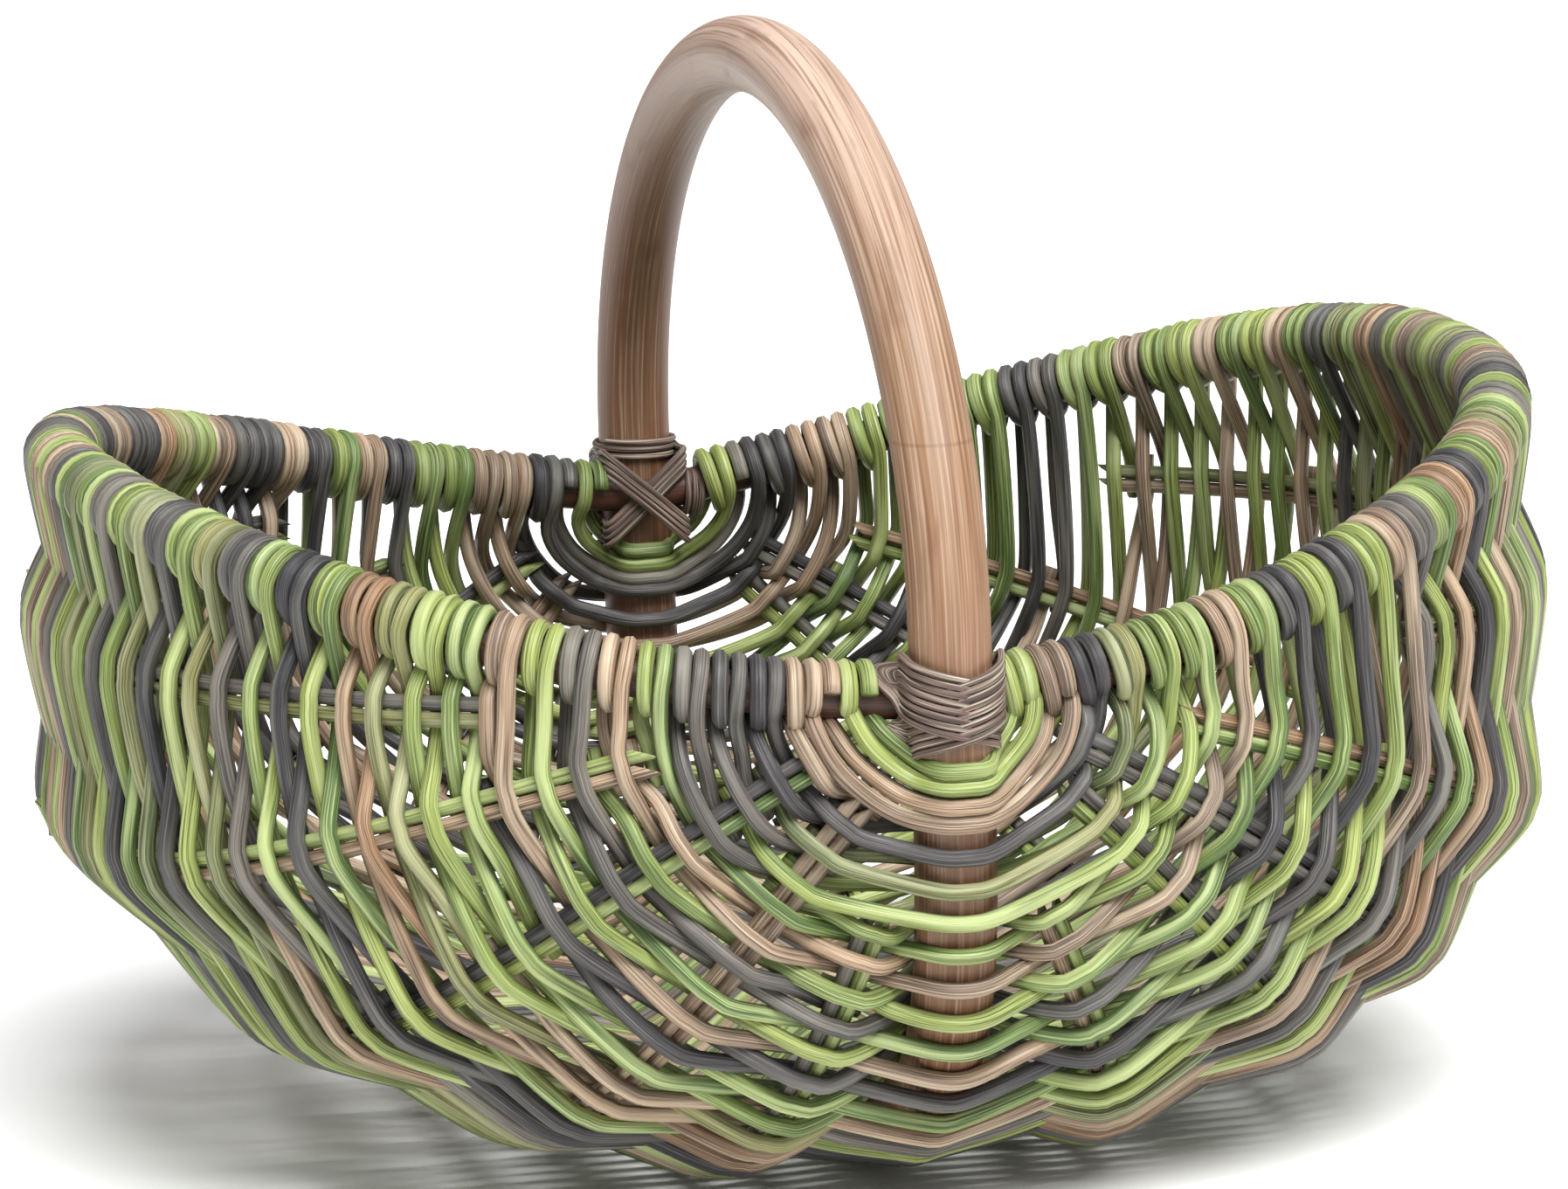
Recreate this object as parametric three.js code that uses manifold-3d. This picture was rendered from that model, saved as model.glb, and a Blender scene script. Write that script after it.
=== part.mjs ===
// A frame basket of rattan. A thick pole, bent to a hoop, is the handle above and the keel below. A
// thinner hoop, saddle-shaped, is the rim, and sits in a notch of the thick one at each ear, where cane
// lashes the two together. Ten pairs of round canes run as ribs from ear to ear round the belly.
// Weaving strands go from rim to rim and back in two rows, on alternate sides of the ribs and the keel.
// They turn round the rim on the left, and hook round it at both their ends on the right. Millimetres,
// +Z up. X is the long way of the basket, Y runs from the front ear to the back ear, and the origin is
// on the ground below the middle.
import * as THREE from 'three';
import { mergeVertices } from 'three/addons/utils/BufferGeometryUtils.js';
import Module from 'manifold-3d';

// Overall sizes
const RIM_LENGTH = 440; // from tip to tip, between the middles of the rim's pole
const RIM_WIDTH = 388; // from ear to ear, between the middles of the rim's pole
const EAR_HEIGHT = 162; // middle of the rim's pole at the ears, where it is lowest
const TIP_HEIGHT_LEFT = 214; // middle of the rim's pole at its left tip, where it is high
const TIP_HEIGHT_RIGHT = 220.5; // and at the right one
const BELLY_BULGE = 9; // by which the outermost ribs bulge past each tip of the rim
const BELLY_HEIGHT = 131; // at which the belly is longest
const LEG_HEIGHT = 21; // of the handle's straight legs, above the ears
const ARCH_HEIGHT = 145; // of the half ellipse above the legs

// Poles, canes and strands
const POLE_R = 12; // handle and keel
const RIM_R = 6;
const CANE_R = 2.25; // each of the two canes of a rib
const CANE_TIP_LENGTH = 8; // length of the slanting cut at a cane's ends
const STRAND = 5; // thickness of a weaving strand
const LASH_R = 1.1; // cane of the lashings

// Gaps, seats and starts
const GAP = 0.4; // between a strand or a lashing and what it passes
const SEAT_GAP = 0.3; // between pieces that seat on each other
const ROW_GAP = 2.4; // between neighbouring rows of the weave
const NOTCH = 8; // depth of the pole's notch for the rim
const FOOT_CUT = 0.6; // depth of the flat on the lowest strands, on which the basket stands
const EAR_GAP = 30; // from the ears to the first strand, along the keel

// Fullness of the curves: 2 is an ellipse, and more is squarer
const RIM_FULLNESS = 2.37;
const KEEL_FULLNESS = 3.7;
const BELLY_FULLNESS_LEFT = 2;
const BELLY_FULLNESS_RIGHT = 2.17;

// How slowly the rim starts to climb from each ear: 1 is a straight climb
const RIM_SWEEP_FRONT = 1.7;
const RIM_SWEEP_BACK = 1.3;

// Weaving strands on each half, from the ear to the middle, and the rows of each
const STRANDS = 10;
const STRAND_ROWS = 2;

// Each rib: its place round the belly, in degrees from the left tip of the rim, where 90 is the keel,
// how many strands lie between each ear and its end, and the finishes of its two canes, the one nearer
// to the rim first
const RIBS = {
  left_1: { place: 8, skipCount: 4, finishes: ['grey', 'olive'] },
  left_2: { place: 24, skipCount: 2, finishes: ['green', 'tan'] },
  left_3: { place: 47, skipCount: 1, finishes: ['charcoal', 'green'] },
  left_4: { place: 64.5, skipCount: 0, finishes: ['tan', 'tan'] },
  left_5: { place: 77.5, skipCount: 2, finishes: ['grey', 'green'] },
  right_5: { place: 102.5, skipCount: 2, finishes: ['green', 'tan'] },
  right_4: { place: 119, skipCount: 0, finishes: ['grey', 'green'] },
  right_3: { place: 132.5, skipCount: 1, finishes: ['tan', 'grey'] },
  right_2: { place: 151.5, skipCount: 2, finishes: ['rust', 'green'] },
  right_1: { place: 171, skipCount: 4, finishes: ['olive', 'tan'] },
};

// Lashings: turns each way across the crossing, and how far the second way lies above the first
const LASH_TURNS = 3;
const LASH_PITCH = 3.6;
const LASH_LIFT = 2.9;

// Finishes
const FINISHES = {
  pole: { color: 0x8a6148, roughness: 0.45 },
  rim_pole: { color: 0x5b3426, roughness: 0.55 },
  green: { color: 0x86a04a, roughness: 0.5 },
  olive: { color: 0x7d8650, roughness: 0.5 },
  charcoal: { color: 0x4b4a4c, roughness: 0.5 },
  grey: { color: 0x6d6c64, roughness: 0.5 },
  tan: { color: 0x94806a, roughness: 0.5 },
  rust: { color: 0x8c5f45, roughness: 0.5 },
  lashing: { color: 0x6a5148, roughness: 0.55 },
};
const STRAND_FINISHES = [
  'green', 'tan', 'charcoal', 'green', 'grey', 'green', 'tan', 'charcoal', 'olive', 'green',
];

// Facets
const POLE_SIDES = 12;
const RIM_SIDES = 8;
const CANE_SIDES = 6;
const ARCH_STEPS = 24;
const HOOK_FACET = THREE.MathUtils.degToRad(45); // of a strand's hook round the rim
const HOOK_FACETS = 5;
const LASH_STEPS = 20; // a turn
const KEEL_FACET = THREE.MathUtils.degToRad(35); // of a strand's bend round the keel
const KEEL_FACETS = 3;
const LASH_BENDS = 6; // points of a lashing's half turn round the pole
const LINE_STEPS = 400; // by which the length of a line of the wall is measured
const EAR_SHARE = 0.002; // of a line's length, so near the ear that nothing else is nearer

const wasm = await Module();
wasm.setup();

const alongX = new THREE.Vector3(1, 0, 0);

// The belly's outline between the rim's two tips, as x and z for a place round it from 0 to half a
// turn. It is a superellipse below the belly's height, on which the lowest ribs lie at the height where
// their strands touch the ground, and an ellipse above
const bellyLength = RIM_LENGTH + 2 * BELLY_BULGE;
const tipAngle = Math.acos(RIM_LENGTH / bellyLength);
function bellyShares(place) {
  const angle = place * (1 + 2 * tipAngle / Math.PI) - tipAngle;
  const [c, s] = [Math.cos(angle), Math.sin(angle)];
  const power = 2 / (c > 0 ? BELLY_FULLNESS_LEFT : BELLY_FULLNESS_RIGHT);
  return s < 0 ? [c, s / Math.sin(tipAngle)] : [Math.sign(c) * Math.abs(c) ** power, s ** power];
}
const ribPlaces = Object.values(RIBS).map(({ place }) => THREE.MathUtils.degToRad(place));
const lowestShare = Math.max(...ribPlaces.map((place) => bellyShares(place)[1]));
const lowestRib = CANE_R + GAP + STRAND - FOOT_CUT;
function bellyOutline(place) {
  const [sideShare, depthShare] = bellyShares(place);
  const rise = (sideShare > 0 ? TIP_HEIGHT_LEFT : TIP_HEIGHT_RIGHT) - BELLY_HEIGHT;
  const depth = (BELLY_HEIGHT - lowestRib) / lowestShare;
  return [-bellyLength / 2 * sideShare, BELLY_HEIGHT - (depthShare < 0 ? rise : depth) * depthShare];
}

// A line of the wall from the front ear to the back ear, at a place round the belly. The pole's middle lies
// outside the rim's, because the rim sits in its notch, and low lines run from pole to pole
const poleHalfSpan = RIM_WIDTH / 2 + POLE_R + RIM_R - NOTCH;
class WallLine extends THREE.Curve {
  constructor(place) {
    super();
    const low = Math.sin(place) ** 2;
    [this.x, this.z] = bellyOutline(place);
    this.halfSpan = THREE.MathUtils.lerp(RIM_WIDTH / 2, poleHalfSpan, low);
    this.fullness = THREE.MathUtils.lerp(RIM_FULLNESS, KEEL_FULLNESS, low);
    this.sweeps = [RIM_SWEEP_FRONT, RIM_SWEEP_BACK].map((sweep) => THREE.MathUtils.lerp(sweep, 1, low));
    this.arcLengthDivisions = LINE_STEPS;
  }
  getPoint(share, target = new THREE.Vector3()) {
    const [c, s] = [Math.cos(Math.PI * share), Math.sin(Math.PI * share)];
    const reach = (Math.abs(c) ** this.fullness + Math.abs(s) ** this.fullness) ** (1 / this.fullness);
    const side = Math.max(s, 0) / reach;
    const z = THREE.MathUtils.lerp(EAR_HEIGHT, this.z, side ** this.sweeps[c > 0 ? 0 : 1]);
    return target.set(this.x * side, -this.halfSpan * c / reach, z);
  }
}

// The keel, which is the lower half of the pole's hoop, has its underside level with the lowest ribs'
class KeelLine extends WallLine {
  constructor() {
    super(Math.PI / 2);
    this.x = 0;
    this.z = POLE_R + GAP + STRAND - FOOT_CUT;
  }
}

// The upper half of the pole's hoop, from the back ear over to the front one
class ArchLine extends THREE.Curve {
  getPoint(share, target = new THREE.Vector3()) {
    const legShare = LEG_HEIGHT / (2 * LEG_HEIGHT + Math.PI * ARCH_HEIGHT);
    const angle = Math.PI * THREE.MathUtils.clamp((share - legShare) / (1 - 2 * legShare), 0, 1);
    const leg = LEG_HEIGHT * Math.min(1, share / legShare, (1 - share) / legShare);
    return target.set(0, poleHalfSpan * Math.cos(angle), EAR_HEIGHT + leg + ARCH_HEIGHT * Math.sin(angle));
  }
}

// What stands in the wall, from the left side of the rim to the right one, and how a strand outside it
// passes it: points across the wall and out of it, from its middle
const beside = THREE.MathUtils.degToRad(1);
function station(place, line, pass, skipCount = 0) {
  const [before, after] = [new WallLine(place - beside), new WallLine(place + beside)];
  return { line, before, after, pass, skipCount };
}
function bend(radius, facet, count, middle) {
  const reach = (radius + GAP + STRAND / 2) / Math.cos(facet / 2);
  const angles = Array.from({ length: count + 1 }, (_, i) => middle + facet * (i - count / 2));
  return angles.map((angle) => [reach * Math.cos(angle), reach * Math.sin(angle)]);
}
const pairOffset = CANE_R + SEAT_GAP / 2;
const pairHalfWidth = pairOffset + CANE_R + 2 * GAP;
const pairReach = CANE_R + GAP + STRAND / 2;
const hookPass = bend(RIM_R, HOOK_FACET, HOOK_FACETS, Math.PI);
const keelPass = bend(POLE_R, KEEL_FACET, KEEL_FACETS, Math.PI / 2).reverse();
const pairPass = [[-pairHalfWidth, pairReach], [pairHalfWidth, pairReach]];
const leftRim = station(0, new WallLine(0), hookPass.toReversed());
const rightRim = station(Math.PI, new WallLine(Math.PI), hookPass.map(([across, out]) => [-across, out]));
const keel = station(Math.PI / 2, new KeelLine(), keelPass);
const ribs = Object.values(RIBS).map(({ skipCount }, i) =>
  station(ribPlaces[i], new WallLine(ribPlaces[i]), pairPass, skipCount));
const leftRibs = ribs.filter((_, i) => ribPlaces[i] < Math.PI / 2);
const rightRibs = ribs.filter((_, i) => ribPlaces[i] > Math.PI / 2);
const stations = [leftRim, ...leftRibs, keel, ...rightRibs, rightRim];

// A station's middle at a share of its line, and the wall's directions there: along, across and out of
// the wall
function placeOn(at, share) {
  const point = at.line.getPointAt(share);
  const tangent = at.line.getTangentAt(share);
  const across = at.after.getPointAt(share).sub(at.before.getPointAt(share));
  across.addScaledVector(tangent, -across.dot(tangent)).normalize();
  const outward = new THREE.Vector3().crossVectors(tangent, across);
  return { point, tangent, across, outward };
}
function offsetFrom({ point, across, outward }, side, out) {
  return point.clone().addScaledVector(across, side).addScaledVector(outward, out);
}

// Shares of each line between which the strands lie, from the front ear to the back ear
const keelLength = keel.line.getLength();
const startShare = EAR_GAP / keelLength;
const strandShare = (0.5 - startShare) / STRANDS;
const rowShare = strandShare / STRAND_ROWS;
const halfGapShare = ROW_GAP / keelLength / 2;
const borderShares = Array.from({ length: 2 * STRANDS + 1 }, (_, i) => startShare + strandShare * i);

// A closed solid through rings of points, each ring with as many points as the next. It is a closed
// hoop, or has a flat cap on its first and last ring
function loft(rings, isHoop = false) {
  const count = rings[0].length;
  const index = [];
  const quad = (a, b, c, d) => index.push(a, b, c, a, c, d);
  for (let i = isHoop ? 0 : 1; i < rings.length; i++) {
    const [here, last] = [i * count, (i + rings.length - 1) % rings.length * count];
    for (let j = 0; j < count; j++) {
      const next = (j + 1) % count;
      quad(last + j, last + next, here + next, here + j);
    }
  }
  const end = (rings.length - 1) * count;
  for (let j = 2; j < count && !isHoop; j++) {
    index.push(0, j, j - 1);
    index.push(end, end + j - 1, end + j);
  }
  const geometry = new THREE.BufferGeometry().setFromPoints(rings.flat());
  geometry.setIndex(volumeInside(rings.flat(), index) < 0 ? index.reverse() : index);
  return geometry;
}
function volumeInside(points, index) {
  let volume = 0;
  for (let i = 0; i < index.length; i += 3) {
    const [a, b, c] = index.slice(i, i + 3).map((j) => points[j]);
    volume += a.dot(new THREE.Vector3().crossVectors(b, c)) / 6;
  }
  return volume;
}
function round(centre, first, second, radius, sides) {
  const angles = Array.from({ length: sides }, (_, i) => 2 * Math.PI * i / sides);
  return angles.map((angle) => offsetFrom({ point: centre, across: first, outward: second },
    radius * Math.cos(angle), radius * Math.sin(angle)));
}

// A closed mesh as a solid that can be cut, and back
function toSolid(geometry) {
  const bare = geometry.clone();
  bare.deleteAttribute('normal');
  bare.deleteAttribute('uv');
  const merged = mergeVertices(bare);
  const vertProperties = new Float32Array(merged.getAttribute('position').array);
  const triVerts = new Uint32Array(merged.getIndex().array);
  return new wasm.Manifold(new wasm.Mesh({ numProp: 3, vertProperties, triVerts }));
}
function cut(geometry, ...tools) {
  const mesh = tools.reduce((solid, tool) => solid.subtract(toSolid(tool)), toSolid(geometry)).getMesh();
  const result = new THREE.BufferGeometry();
  result.setAttribute('position', new THREE.BufferAttribute(new Float32Array(mesh.vertProperties), 3));
  result.setIndex(new THREE.BufferAttribute(new Uint32Array(mesh.triVerts), 1));
  return result;
}

const basket = new THREE.Group();
function add(name, geometry, finish) {
  geometry.computeVertexNormals();
  const mesh = new THREE.Mesh(geometry, new THREE.MeshStandardMaterial(FINISHES[finish]));
  mesh.name = name;
  basket.add(mesh);
}

// Rim: up the left side from the front ear to the back one, and down the right side
function rimRings(radius) {
  const left = [EAR_SHARE, ...borderShares, 1 - EAR_SHARE].map((share) => [leftRim, share]);
  const right = borderShares.map((share) => [rightRim, share]).reverse();
  return [...left, ...right].map(([at, share]) => {
    const { point, across, outward } = placeOn(at, share);
    return round(point, at === leftRim ? across : across.negate(), outward, radius, RIM_SIDES);
  });
}
add('rim_hoop', loft(rimRings(RIM_R), true), 'rim_pole');

// Handle and keel, with a notch for the rim at each ear
function poleRing(line, share) {
  const tangent = line.getTangentAt(share);
  return round(line.getPointAt(share), alongX, tangent.cross(alongX), POLE_R, POLE_SIDES);
}
const arch = new ArchLine();
const poleRings = [
  ...borderShares.map((share) => poleRing(keel.line, share)),
  ...Array.from({ length: ARCH_STEPS + 1 }, (_, i) => poleRing(arch, i / ARCH_STEPS)),
];
const seats = loft(rimRings(RIM_R + SEAT_GAP), true);
add('handle_hoop', cut(loft(poleRings, true), seats), 'pole');

// Ribs: two canes side by side, each cut slantwise at both its ends
function cane(at, offset) {
  const shares = borderShares.slice(at.skipCount, borderShares.length - at.skipCount);
  const places = shares.map((share) => placeOn(at, share));
  const middles = places.map((place) => offsetFrom(place, offset, 0));
  const rings = places.map(({ across, outward }, i) =>
    round(middles[i], across, outward, CANE_R, CANE_SIDES));
  for (const [end, next] of [[0, 1], [-1, -2]]) {
    const inward = middles.at(next).clone().sub(middles.at(end)).normalize();
    rings.at(end).forEach((point, i) => {
      const cutShare = (1 - Math.cos(2 * Math.PI * i / CANE_SIDES)) / 2;
      point.addScaledVector(inward, ROW_GAP / 2 + CANE_TIP_LENGTH * cutShare);
    });
  }
  return loft(rings);
}
Object.entries(RIBS).forEach(([name, { finishes }], i) => {
  const upward = name.startsWith('left') ? -1 : 1;
  add(`rib_${name}_upper`, cane(ribs[i], pairOffset * upward), finishes[0]);
  add(`rib_${name}_lower`, cane(ribs[i], -pairOffset * upward), finishes[1]);
});

// What a row of the weave passes from left to right, the rows being counted from the ear: each station
// that it reaches, on alternate sides. The next row passes them the other way
function rowPasses(row, isBack) {
  const reached = stations.filter(({ skipCount }) => row >= skipCount * STRAND_ROWS);
  return reached.flatMap((at, i) => {
    const side = (row + i + (isBack ? 1 : 0)) % 2 ? -1 : 1;
    return at.pass.map(([across, out]) => ({ at, row, across, out: side * out }));
  });
}

// A strand's whole way. It comes back along its first row from the right, turns round the left side of
// the rim, where it moves over by a row, and goes out along its second
function strandPasses(number, isBack) {
  const first = number * STRAND_ROWS;
  const rows = [first, first + 1].map((row) => rowPasses(row, isBack).filter(({ at }) => at !== leftRim));
  const side = isBack ? -1 : 1;
  const turn = hookPass.map(([across, out], i) =>
    ({ at: leftRim, row: first + i / (hookPass.length - 1), across, out: side * out }));
  return [...rows[0].reverse(), ...turn, ...rows[1]];
}

// Shares of the lines between which a row lies
function rowShares(row, isBack) {
  const shares = [row, row + 1].map((edge) => startShare + rowShare * edge);
  const [near, far] = isBack ? shares.map((share) => 1 - share).reverse() : shares;
  return [near + halfGapShare, far - halfGapShare];
}

// A point of a row beside a station. Between the borders of the strands it lies on a straight line, as
// the canes of the ribs do, and that line is the way of the strand's width
function rowPoint({ at, across, out }, share) {
  const border = borderShares.findLastIndex((each) => each < share);
  const [from, to] = borderShares.slice(border, border + 2).map((each) =>
    offsetFrom(placeOn(at, each), across, out));
  const width = to.clone().sub(from).normalize();
  return { point: from.lerp(to, (share - borderShares[border]) / strandShare), width };
}

// Half the strand's thickness at a point of its line, square to its width and midway between the facets
// that meet there
function halfThickness(line, i) {
  const { width } = line[i];
  const facets = [line.slice(i - 1, i + 1), line.slice(i, i + 2)].filter((ends) => ends.length === 2);
  const normals = facets.map(([a, b]) => {
    const along = b.point.clone().sub(a.point);
    return along.cross(width).negate().normalize();
  });
  const middle = normals.reduce((sum, normal) => sum.clone().add(normal)).normalize();
  return middle.multiplyScalar(STRAND / 2 / middle.dot(normals[0]));
}
function strand(number, isBack) {
  const passes = strandPasses(number, isBack);
  const [near, far] = [0, 1].map((edge) =>
    passes.map((pass) => rowPoint(pass, rowShares(pass.row, isBack)[edge])));
  return loft(near.map((_, i) => {
    const [nearHalf, farHalf] = [halfThickness(near, i), halfThickness(far, i)];
    return [
      near[i].point.clone().add(nearHalf),
      far[i].point.clone().add(farHalf),
      far[i].point.clone().sub(farHalf),
      near[i].point.clone().sub(nearHalf),
    ];
  }));
}
const ground = new THREE.BoxGeometry(bellyLength, RIM_WIDTH, EAR_HEIGHT).translate(0, 0, -EAR_HEIGHT / 2);
for (const isBack of [false, true]) {
  for (let number = 0; number < STRANDS; number++) {
    const name = `weaver_${isBack ? 'back' : 'front'}_${String(number + 1).padStart(2, '0')}`;
    add(name, cut(strand(number, isBack), ground), STRAND_FINISHES[number]);
  }
}

// A lashing is one cane. It goes LASH_TURNS times round both hoops one way across the crossing, below
// the rim on one side of the pole and above it on the other, and then as often the other way, on top.
// Its points are given by the distance to the right, out from the pole's middle, and up from the rim's
function lashingPoints(outward) {
  const side = POLE_R + GAP + LASH_R;
  const behind = poleHalfSpan - RIM_WIDTH / 2 + RIM_R + GAP + LASH_R;
  const firstShare = outward > 0 ? 1 - startShare : startShare;
  const firstHeights = [leftRim, rightRim].map(({ line }) => line.getPointAt(firstShare).z);
  const steepness = (Math.max(...firstHeights) - EAR_HEIGHT) / (startShare * leftRim.line.getLength());
  const climb = steepness * side;
  const nearest = RIM_R + climb + GAP + LASH_R;
  const points = [];
  for (const [way, lift] of [[1, 0], [-1, LASH_LIFT]]) {
    for (let turn = 0; turn < LASH_TURNS; turn++) {
      const below = -nearest - LASH_PITCH * turn;
      const above = nearest + LASH_PITCH * (LASH_TURNS - 1 - turn);
      const [start, end] = way > 0 ? [below, above] : [-below, -above];
      for (let i = 0; i <= LASH_BENDS; i++) {
        const angle = Math.PI * i / LASH_BENDS;
        const reach = side + lift * Math.sqrt(Math.sin(angle));
        const up = THREE.MathUtils.lerp(start, end, i / LASH_BENDS);
        points.push([-reach * Math.cos(angle), reach * Math.sin(angle), up]);
      }
      points.push([side, -behind / 2, end]);
      points.push([side, -behind + LASH_R - lift / 2, end]);
      points.push([side / 2, -behind - lift, THREE.MathUtils.lerp(end, start, 1 / 4)]);
      points.push([-side / 2, -behind - lift, THREE.MathUtils.lerp(end, start, 3 / 4)]);
      points.push([-side, -behind + LASH_R - lift / 2, start]);
      points.push([-side, -behind / 2, start]);
    }
    const last = points.at(-1)[2];
    if (way > 0) points.push([-side - LASH_LIFT, 0, last - LASH_PITCH / 2], [-side - LASH_LIFT, LASH_R, 0]);
  }
  return points;
}
function lashing(outward) {
  const points = lashingPoints(outward).map(([x, out, up]) =>
    new THREE.Vector3(x, outward * (poleHalfSpan + out), EAR_HEIGHT + up));
  const curve = new THREE.CatmullRomCurve3(points);
  const steps = 2 * LASH_TURNS * LASH_STEPS;
  const { normals, binormals } = curve.computeFrenetFrames(steps);
  const middles = curve.getSpacedPoints(steps);
  console.log(`least gap of the lashing to itself: ${leastGap(middles).toFixed(2)} mm`);
  return loft(middles.map((middle, i) => round(middle, normals[i], binormals[i], LASH_R, CANE_SIDES)));
}
function leastGap(middles) {
  const step = middles[0].distanceTo(middles[1]);
  const apart = Math.ceil(4 * LASH_R / step) + 1;
  let least = Infinity;
  middles.forEach((a, i) => middles.slice(i + apart).forEach((b) => {
    least = Math.min(least, a.distanceTo(b) - 2 * LASH_R);
  }));
  return least;
}
add('front_lashing', lashing(-1), 'lashing');
add('back_lashing', lashing(1), 'lashing');

export default basket;
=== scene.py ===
import math

import bmesh
import bpy
import numpy as np
from bpy.props import FloatProperty, FloatVectorProperty, PointerProperty
from mathutils import Color, Matrix, Vector
from mathutils.kdtree import KDTree


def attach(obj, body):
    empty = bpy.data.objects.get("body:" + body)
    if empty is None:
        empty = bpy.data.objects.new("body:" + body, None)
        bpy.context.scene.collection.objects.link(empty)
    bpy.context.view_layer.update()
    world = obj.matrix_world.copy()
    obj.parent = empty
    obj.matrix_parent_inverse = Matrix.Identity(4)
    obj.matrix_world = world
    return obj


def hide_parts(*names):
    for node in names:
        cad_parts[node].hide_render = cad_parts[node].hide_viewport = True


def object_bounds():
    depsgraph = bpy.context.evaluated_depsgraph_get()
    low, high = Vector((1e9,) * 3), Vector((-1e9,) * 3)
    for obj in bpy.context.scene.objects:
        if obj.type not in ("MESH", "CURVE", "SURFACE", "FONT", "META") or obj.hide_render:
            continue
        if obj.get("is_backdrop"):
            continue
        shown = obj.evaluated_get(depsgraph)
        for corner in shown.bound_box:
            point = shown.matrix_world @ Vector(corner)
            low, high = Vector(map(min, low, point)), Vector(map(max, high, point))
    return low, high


bl_info = {
    "name": "Rattan basket",
    "version": (1, 0, 0),
    "blender": (4, 5, 0),
    "location": "View3D > Sidebar > Basket",
    "description": "Builds a frame basket of woven rattan cane on its frame",
    "category": "Object",
}

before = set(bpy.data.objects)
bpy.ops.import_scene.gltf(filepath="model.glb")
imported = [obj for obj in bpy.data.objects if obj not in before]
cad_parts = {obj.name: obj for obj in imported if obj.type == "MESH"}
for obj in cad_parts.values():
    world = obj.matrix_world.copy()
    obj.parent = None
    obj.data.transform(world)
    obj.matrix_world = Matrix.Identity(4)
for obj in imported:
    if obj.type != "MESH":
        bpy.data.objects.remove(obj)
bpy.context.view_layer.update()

# Canes of the weave, in metres
STRAND_SPREAD = 0.00015  # by which the radius of one cane may differ from another's
PASS_GAP = 0.0001  # between a cane and what it passes
RIDGE_DEPTH_SHARE = 0.05  # depth of a cane's ridges, as a share of its radius
RIDGES = 7
TIP_PAST = 0.003  # by which a cane's end reaches past the rib that holds it
TIP_RISE = 0.0008  # by which that end stands off the rib
TIP_SHIFT = 0.0026  # by which two ends on one rib lie to either side of their row
PATH_STEP = 0.0026  # between the rings of a cane
PATH_PARTS = 8  # between two given points of a path, while it is smoothed
PATH_LEAST = 4  # rings of the shortest cane

# Rows: sixty on each half of the basket, from the ear to the middle
ROWS = 60
ROWS_OF_STRAND = 6  # rows that one strand of the frame stands for
RIM_STARTS_FRONT = (0.0235, 0.018)  # along the rim from the ear to the first row, on the left and right
RIM_STARTS_BACK = (0.0165, 0.0225)
KEEL_START = 0.018  # and along the keel
ROW_JITTER_SHARE = 0.1  # of the space of a row
RIM_CALM_SHARE = 0.25  # of that scatter, which is left on the rim, where the turns lie close
RIB_MARGIN = 0.003  # from a rib's end to the first row that passes it
RIM_LOOSENESS = 0.0007  # by which a turn round the rim may be loose

# Rows between two ribs: over narrow spans they are nearly straight, and over wide ones they follow the wall
STRAIGHT_SPAN = math.radians(25)
CURVED_SPAN = math.radians(55)
STRAIGHT_FOLLOW_SHARE = 0.35
POINT_SPAN = math.radians(22)

# Turns round the rim, measured from below it: where they begin and end, and where they move on by a row
TURN_FIRST = math.radians(75)
TURN_LAST = math.radians(645)
TURN_STEP = math.radians(30)
SHIFT_FIRST = math.radians(225)
SHIFT_LAST = math.radians(495)
FIRST_HOOK = math.radians(210)  # by which a cane that starts on the rim goes round it
LAST_HOOK = math.radians(225)  # and one that ends there

# Passing a rib or the keel
SPREAD_ACROSS_SHARES = (-1, 0, 1)
KEEL_ANGLES = (math.radians(-24), 0, math.radians(24))

# Each rib's place round the belly, in degrees from the left tip of the rim, its start from either ear,
# in metres as they are along the keel, and the dyes of its two canes, the one nearer the rim first
RIBS = {
    "left_1": (8, 0.112, ("grey", "olive")),
    "left_2": (24, 0.073, ("green", "tan")),
    "left_3": (47, 0.035, ("charcoal", "green")),
    "left_4": (64.5, 0.032, ("tan", "tan")),
    "left_5": (77.5, 0.059, ("grey", "green")),
    "right_5": (102.5, 0.062, ("green", "tan")),
    "right_4": (119, 0.036, ("grey", "green")),
    "right_3": (132.5, 0.032, ("charcoal", "grey")),
    "right_2": (151.5, 0.062, ("rust", "green")),
    "right_1": (171, 0.138, ("olive", "tan")),
}
RIBS_OF_SIDE = len(RIBS) // 2
RIB_TIP_LENGTH = 0.008
KEEL_FIRST_ROWS = 4  # rows that all pass the keel on its one side before they take turns

# Fullness of the curves, of which 2 is an ellipse and more is squarer
RIM_FULLNESS = 2.37
KEEL_FULLNESS = 3.7
BELLY_FULLNESS_LEFT = 2
BELLY_FULLNESS_RIGHT = 2.17
RIM_SWEEP_FRONT = 1.7
RIM_SWEEP_BACK = 1.3

# Strands of the frame on each half, and the grid by which the wall is measured
STRANDS = 10
LINE_STEPS = 400
PLACE_STEP = math.radians(2)
PLACES_PAST_RIM = 3
FAINT_SHARE = 1e-12  # of a direction of its own that each point has, for where the lines meet

# Seeds of the scatter
FRONT_SEED = 17
BACK_SEED = 41
THICKNESS_SEED = 5

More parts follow.
